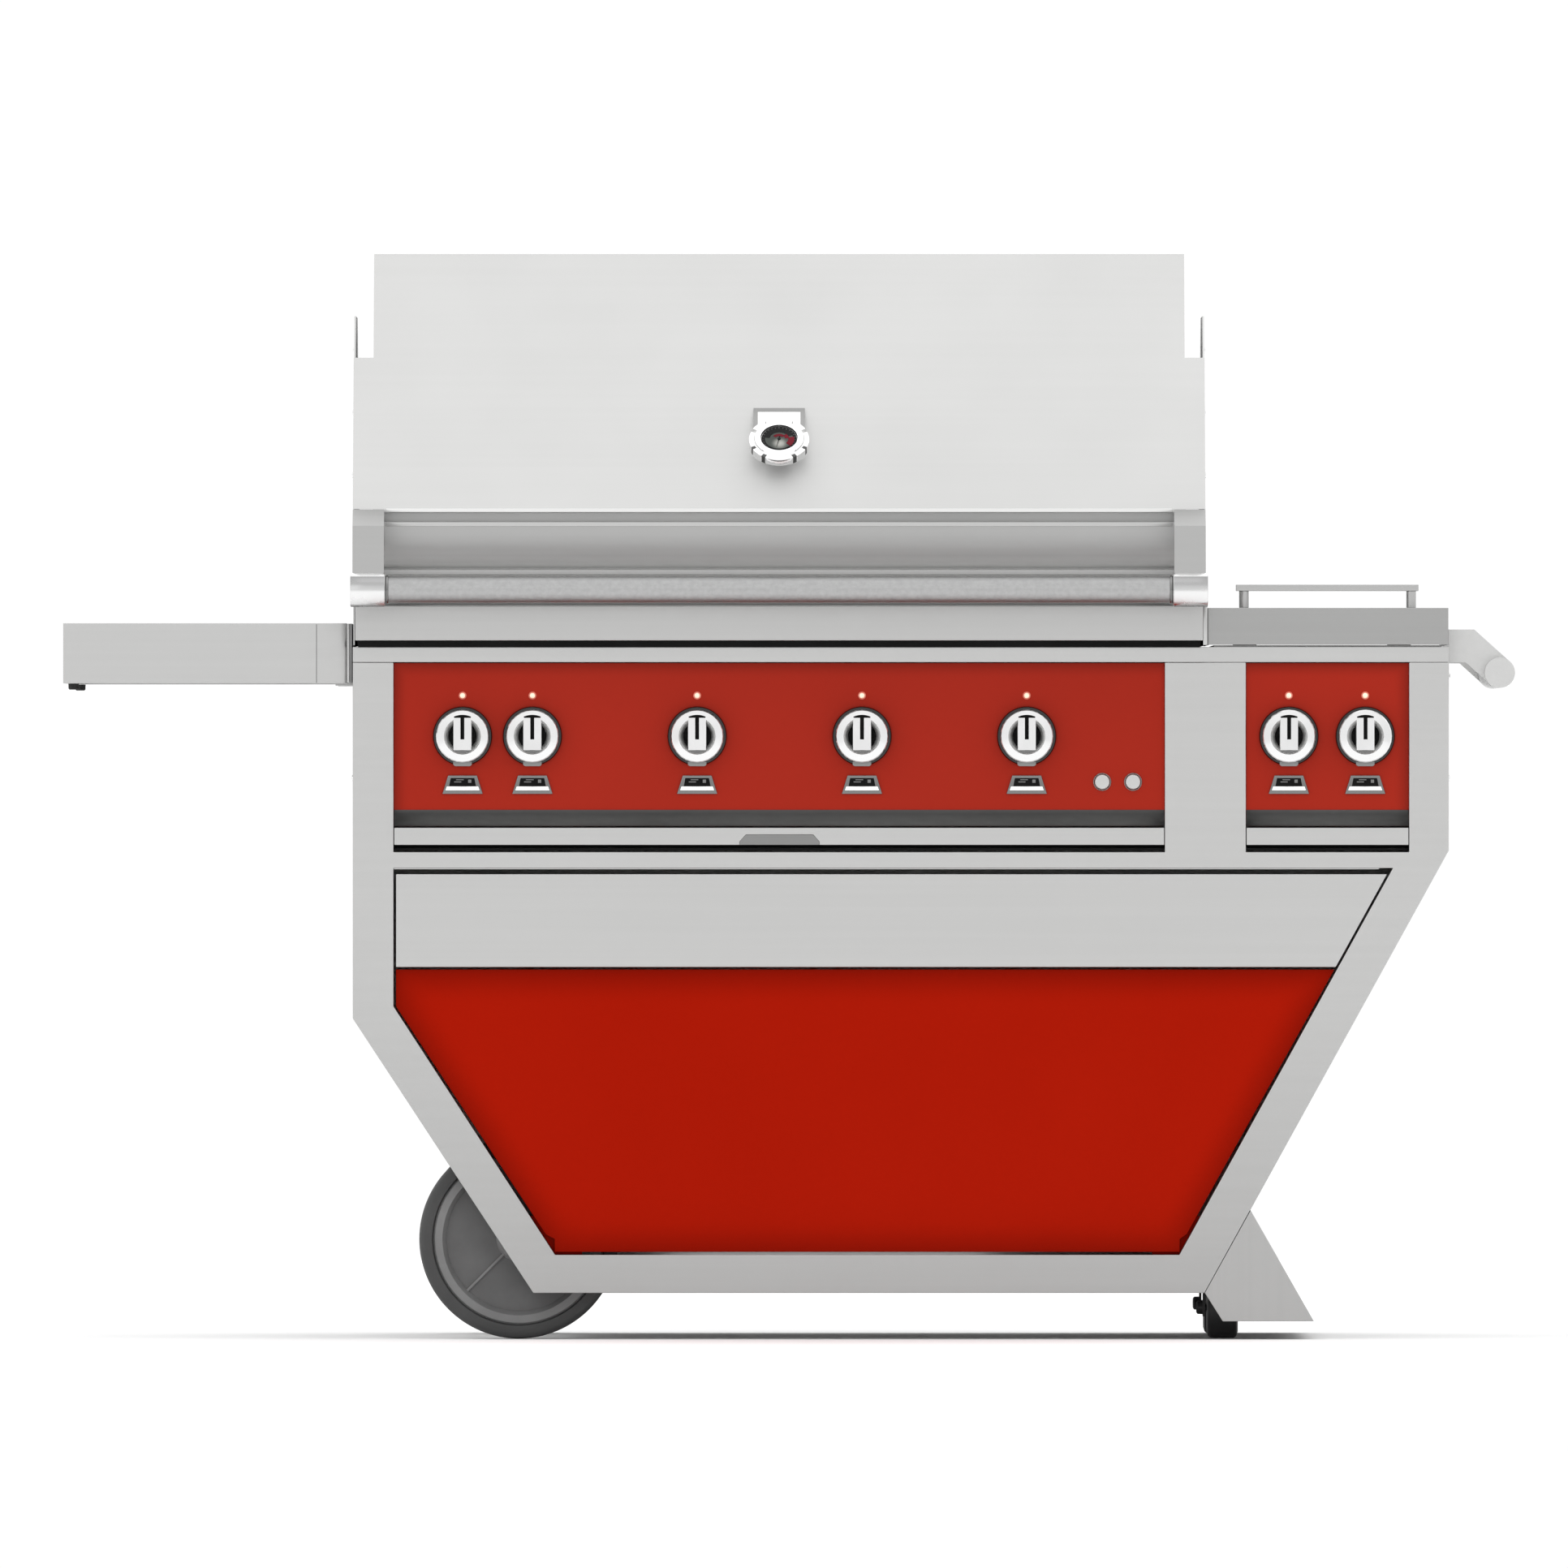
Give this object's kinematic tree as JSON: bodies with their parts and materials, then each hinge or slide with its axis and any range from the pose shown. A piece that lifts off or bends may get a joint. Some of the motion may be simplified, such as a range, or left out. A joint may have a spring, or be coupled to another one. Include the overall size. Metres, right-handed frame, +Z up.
{
  "type": "gas barbecue grill",
  "caption": "Gas barbecue grill on a wheeled cart with a lift-up hood, side burner, fold-down shelf, drawer, drop-down door, drip trays and casters.",
  "frame": {"origin": "on the floor, under the middle of the whole grill", "axes": "+X to the grill's right as seen from the front, +Y to its back, +Z up"},
  "size_m": [1.8124, 0.76, 1.3565],
  "materials": {
    "brushed_steel": "fine brushed grain",
    "inner_steel": "duller mill finish",
    "chrome": "polished",
    "red_enamel": "satin red enamel",
    "cast_iron": "porcelain-coated casting",
    "brass": "machined",
    "tyre": "moulded rubber",
    "black_paint": "black paint",
    "button_grey": "satin",
    "rubber": "matte",
    "black_plastic": "gloss",
    "dial_glass": "clear",
    "lamp": "frosted, lit from inside"
  },
  "bodies": {
    "cart": {"front_frame": "brushed_steel", "rear_panel": "brushed_steel", "left_side_panel": "brushed_steel", "right_side_panel": "brushed_steel", "base_panel": "brushed_steel", "top_deck": "brushed_steel", "control_panel_main": "red_enamel", "control_panel_side": "red_enamel", "firebox": "brushed_steel", "hood_side_plate_left": "brushed_steel", "hood_side_plate_right": "brushed_steel", "hood_pivot_pin_left": "inner_steel", "hood_pivot_pin_right": "inner_steel", "rear_infrared_burner": "inner_steel", "main_burner_1": "inner_steel", "main_burner_2": "inner_steel", "main_burner_3": "inner_steel", "main_burner_4": "inner_steel", "radiant_tray": "inner_steel", "cooking_grate_left": "cast_iron", "cooking_grate_middle": "cast_iron", "cooking_grate_right": "cast_iron", "warming_rack": "brushed_steel", "gas_manifold": "brass", "side_burner_pan": "inner_steel", "side_burner_front": "cast_iron", "side_burner_rear": "cast_iron", "side_burner_grate": "cast_iron", "shelf_hinge": "inner_steel", "door_hinge_pin": "inner_steel", "wheel_axle": "inner_steel", "right_foot": "brushed_steel", "push_handle": "brushed_steel"},
    "hood": {"hood_shell": "brushed_steel", "hood_handle_tube": "brushed_steel", "handle_bracket_left": "chrome", "handle_bracket_right": "chrome", "thermometer_housing": "chrome"},
    "shelf": {"left_shelf": "brushed_steel"},
    "side_lid": {"side_burner_lid": "brushed_steel", "lid_handle": "chrome"},
    "door": {"lower_door": "red_enamel"},
    "drawer": {"utility_drawer": "brushed_steel"},
    "main_tray": {"drip_tray": "brushed_steel"},
    "side_tray": {"side_drip_tray": "brushed_steel"},
    "knob_rotisserie_body": {"knob_rotisserie": "chrome"},
    "knob_burner_1_body": {"knob_burner_1": "chrome"},
    "knob_burner_2_body": {"knob_burner_2": "chrome"},
    "knob_burner_3_body": {"knob_burner_3": "chrome"},
    "knob_burner_4_body": {"knob_burner_4": "chrome"},
    "knob_side_front_body": {"knob_side_front": "chrome"},
    "knob_side_rear_body": {"knob_side_rear": "chrome"},
    "button_ignition_body": {"button_ignition": "button_grey"},
    "button_light_body": {"button_light": "button_grey"},
    "large_wheel_front": {"wheel_front": "tyre"},
    "caster_front": {"caster_fork_front": "black_paint"},
    "caster_roller_front": {"caster_wheel_front": "tyre"},
    "large_wheel_rear": {"wheel_rear": "tyre"},
    "caster_rear": {"caster_fork_rear": "black_paint"},
    "caster_roller_rear": {"caster_wheel_rear": "tyre"}
  },
  "joints": [
    {"name": "hood_hinge", "type": "hinge", "parent": "cart", "child": "hood", "pos_m": [-0.0127, 0.318, 0.985], "axis": [-1, 0, 0], "range_deg": [0, 80]},
    {"name": "shelf_fold", "type": "hinge", "parent": "cart", "child": "shelf", "pos_m": [-0.56, 0, 0.826], "axis": [0, -1, 0], "range_deg": [0, 90]},
    {"name": "side_lid_hinge", "type": "hinge", "parent": "cart", "child": "side_lid", "pos_m": [0.6726, 0.354, 0.9], "axis": [-1, 0, 0], "range_deg": [0, 100]},
    {"name": "door_drop", "type": "hinge", "parent": "cart", "child": "door", "pos_m": [0, -0.279, 0.112], "axis": [1, 0, 0], "range_deg": [0, 90]},
    {"name": "drawer_slide", "type": "slide", "parent": "cart", "child": "drawer", "axis": [0, -1, 0], "range_m": [0, 0.4]},
    {"name": "drip_tray_slide", "type": "slide", "parent": "cart", "child": "main_tray", "axis": [0, -1, 0], "range_m": [0, 0.42]},
    {"name": "side_drip_tray_slide", "type": "slide", "parent": "cart", "child": "side_tray", "axis": [0, -1, 0], "range_m": [0, 0.38]},
    {"name": "knob_rotisserie_turn", "type": "hinge", "parent": "cart", "child": "knob_rotisserie_body", "pos_m": [-0.4078, -0.286, 0.7527], "axis": [0, -1, 0], "range_deg": [0, 90]},
    {"name": "knob_burner_1_turn", "type": "hinge", "parent": "cart", "child": "knob_burner_1_body", "pos_m": [-0.3206, -0.286, 0.7527], "axis": [0, -1, 0], "range_deg": [0, 180]},
    {"name": "knob_burner_2_turn", "type": "hinge", "parent": "cart", "child": "knob_burner_2_body", "pos_m": [-0.115, -0.286, 0.7527], "axis": [0, -1, 0], "range_deg": [0, 180]},
    {"name": "knob_burner_3_turn", "type": "hinge", "parent": "cart", "child": "knob_burner_3_body", "pos_m": [0.0907, -0.286, 0.7527], "axis": [0, -1, 0], "range_deg": [0, 180]},
    {"name": "knob_burner_4_turn", "type": "hinge", "parent": "cart", "child": "knob_burner_4_body", "pos_m": [0.2963, -0.286, 0.7527], "axis": [0, -1, 0], "range_deg": [0, 180]},
    {"name": "knob_side_front_turn", "type": "hinge", "parent": "cart", "child": "knob_side_front_body", "pos_m": [0.6235, -0.286, 0.7527], "axis": [0, -1, 0], "range_deg": [0, 180]},
    {"name": "knob_side_rear_turn", "type": "hinge", "parent": "cart", "child": "knob_side_rear_body", "pos_m": [0.7188, -0.286, 0.7527], "axis": [0, -1, 0], "range_deg": [0, 180]},
    {"name": "button_ignition_push", "type": "slide", "parent": "cart", "child": "button_ignition_body", "axis": [0, 1, 0], "range_m": [0, 0.003], "stiffness_N_per_m": 400},
    {"name": "button_light_push", "type": "slide", "parent": "cart", "child": "button_light_body", "axis": [0, 1, 0], "range_m": [0, 0.003], "stiffness_N_per_m": 400},
    {"name": "large_wheel_front_spin", "type": "hinge", "parent": "cart", "child": "large_wheel_front", "pos_m": [-0.3379, -0.214, 0.1245], "axis": [0, 1, 0], "continuous": true},
    {"name": "large_wheel_rear_spin", "type": "hinge", "parent": "cart", "child": "large_wheel_rear", "pos_m": [-0.3379, 0.344, 0.1245], "axis": [0, 1, 0], "continuous": true},
    {"name": "caster_front_swivel", "type": "hinge", "parent": "cart", "child": "caster_front", "pos_m": [0.5416, -0.172, 0.096], "axis": [0, 0, 1], "continuous": true},
    {"name": "caster_front_roll", "type": "hinge", "parent": "caster_front", "child": "caster_roller_front", "pos_m": [0.5416, -0.147, 0.038], "axis": [1, 0, 0], "continuous": true},
    {"name": "caster_rear_swivel", "type": "hinge", "parent": "cart", "child": "caster_rear", "pos_m": [0.5416, 0.29, 0.096], "axis": [0, 0, 1], "continuous": true},
    {"name": "caster_rear_roll", "type": "hinge", "parent": "caster_rear", "child": "caster_roller_rear", "pos_m": [0.5416, 0.315, 0.038], "axis": [1, 0, 0], "continuous": true}
  ]
}
